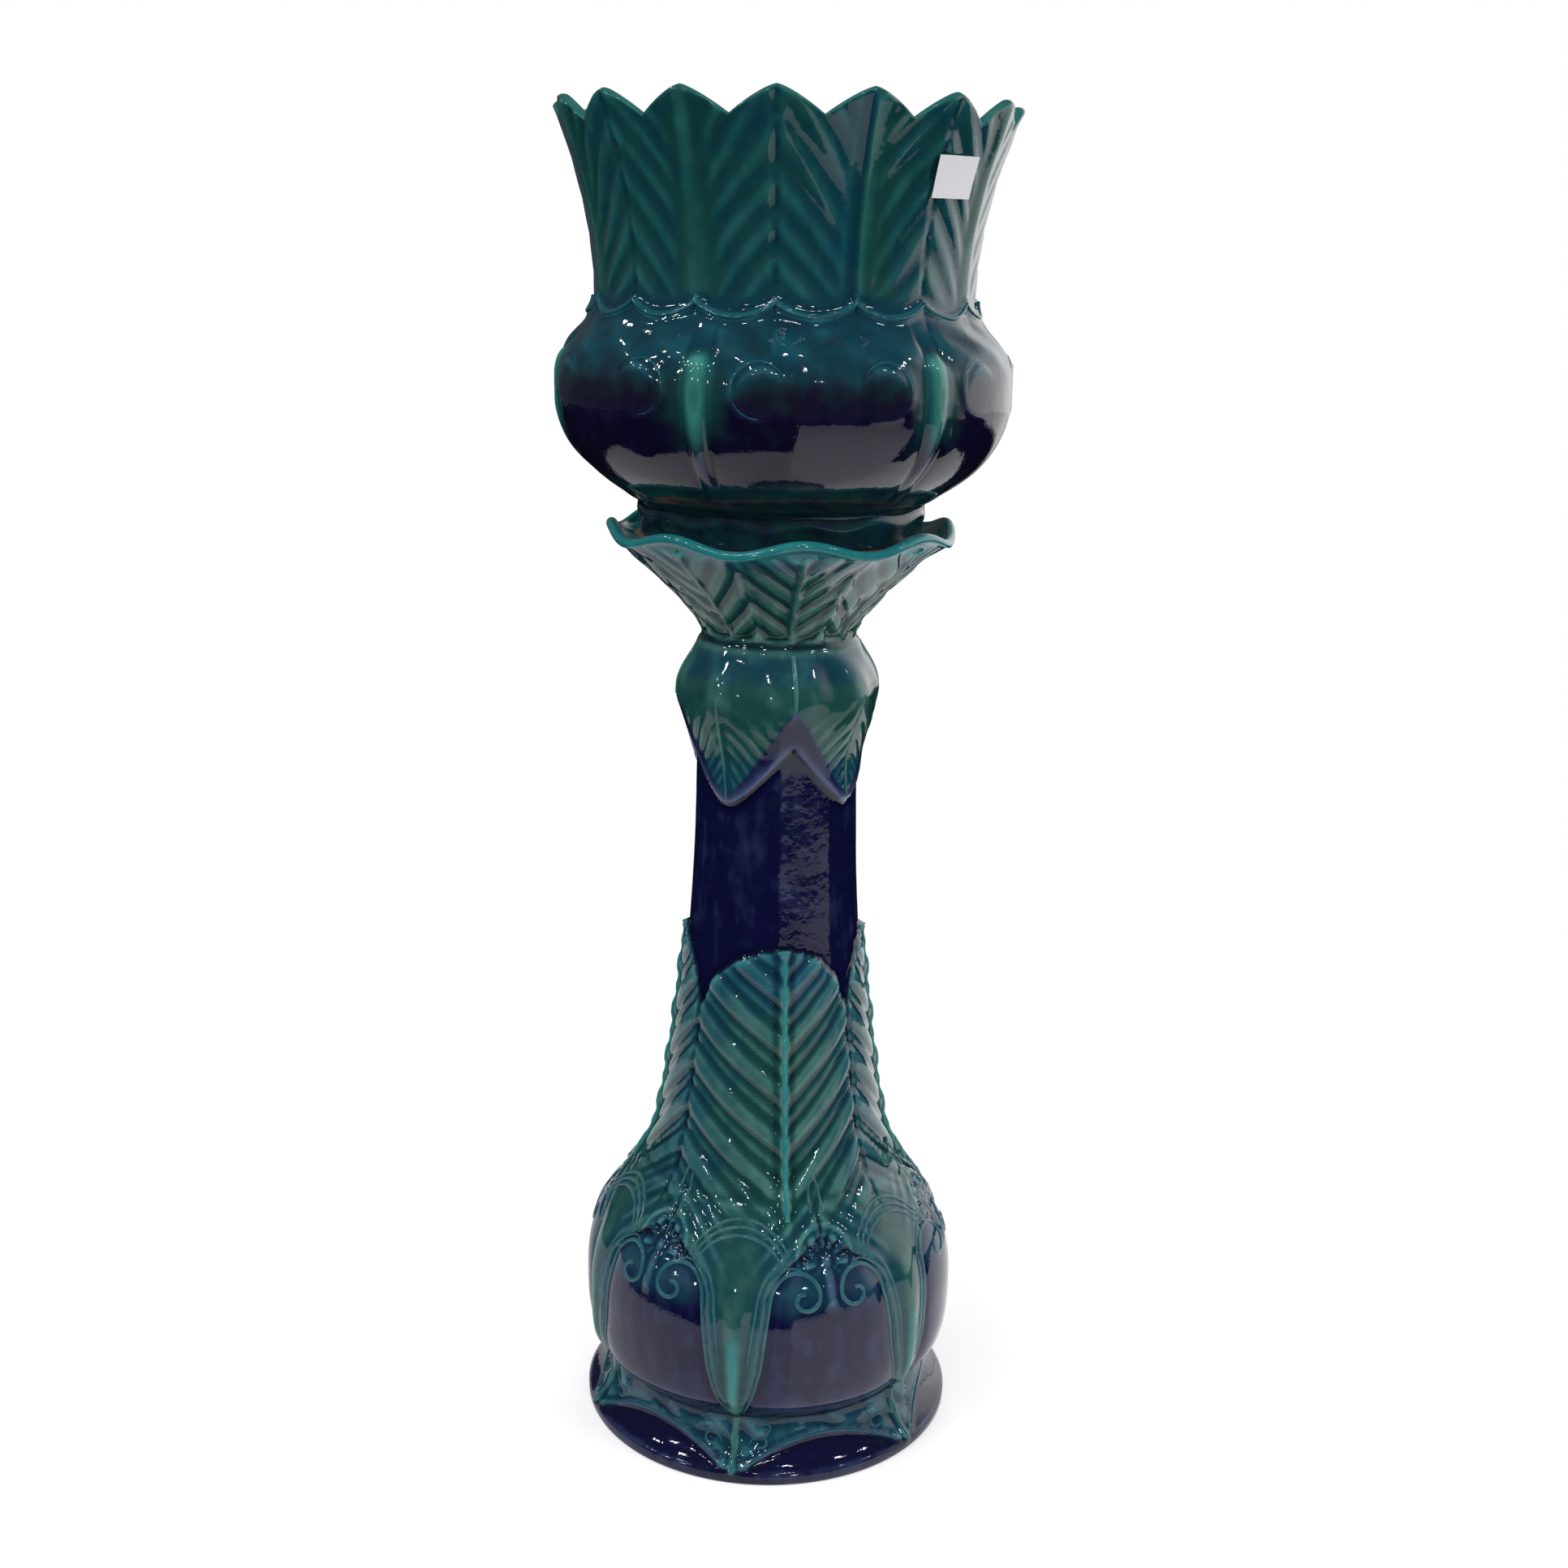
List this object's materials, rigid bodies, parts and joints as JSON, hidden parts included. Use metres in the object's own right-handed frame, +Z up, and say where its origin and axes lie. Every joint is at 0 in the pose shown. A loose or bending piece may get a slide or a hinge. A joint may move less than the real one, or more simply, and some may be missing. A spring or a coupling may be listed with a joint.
{
  "type": "jardiniere on stand",
  "caption": "Glazed earthenware jardiniere with a leaf-tipped collar, standing loose in the dished top of a tall leaf-moulded pedestal.",
  "frame": {"origin": "middle of the pedestal's underside, on the floor", "axes": "+Z up the common axis of pedestal and jardiniere, -Y is the front seen in the picture, +X to the right"},
  "size_m": [0.3092, 0.3092, 0.9412],
  "materials": {
    "pedestal_glaze": "gloss",
    "bowl_glaze": "gloss",
    "paper_label": "matte"
  },
  "bodies": {
    "pedestal": {"pedestal_stand": "pedestal_glaze"},
    "jardiniere": {"jardiniere_bowl": "bowl_glaze"}
  },
  "joints": [
    {"name": "bowl_lift", "type": "slide", "parent": "pedestal", "child": "jardiniere", "axis": [0, 0, 1], "range_m": [0, 0.12]}
  ]
}
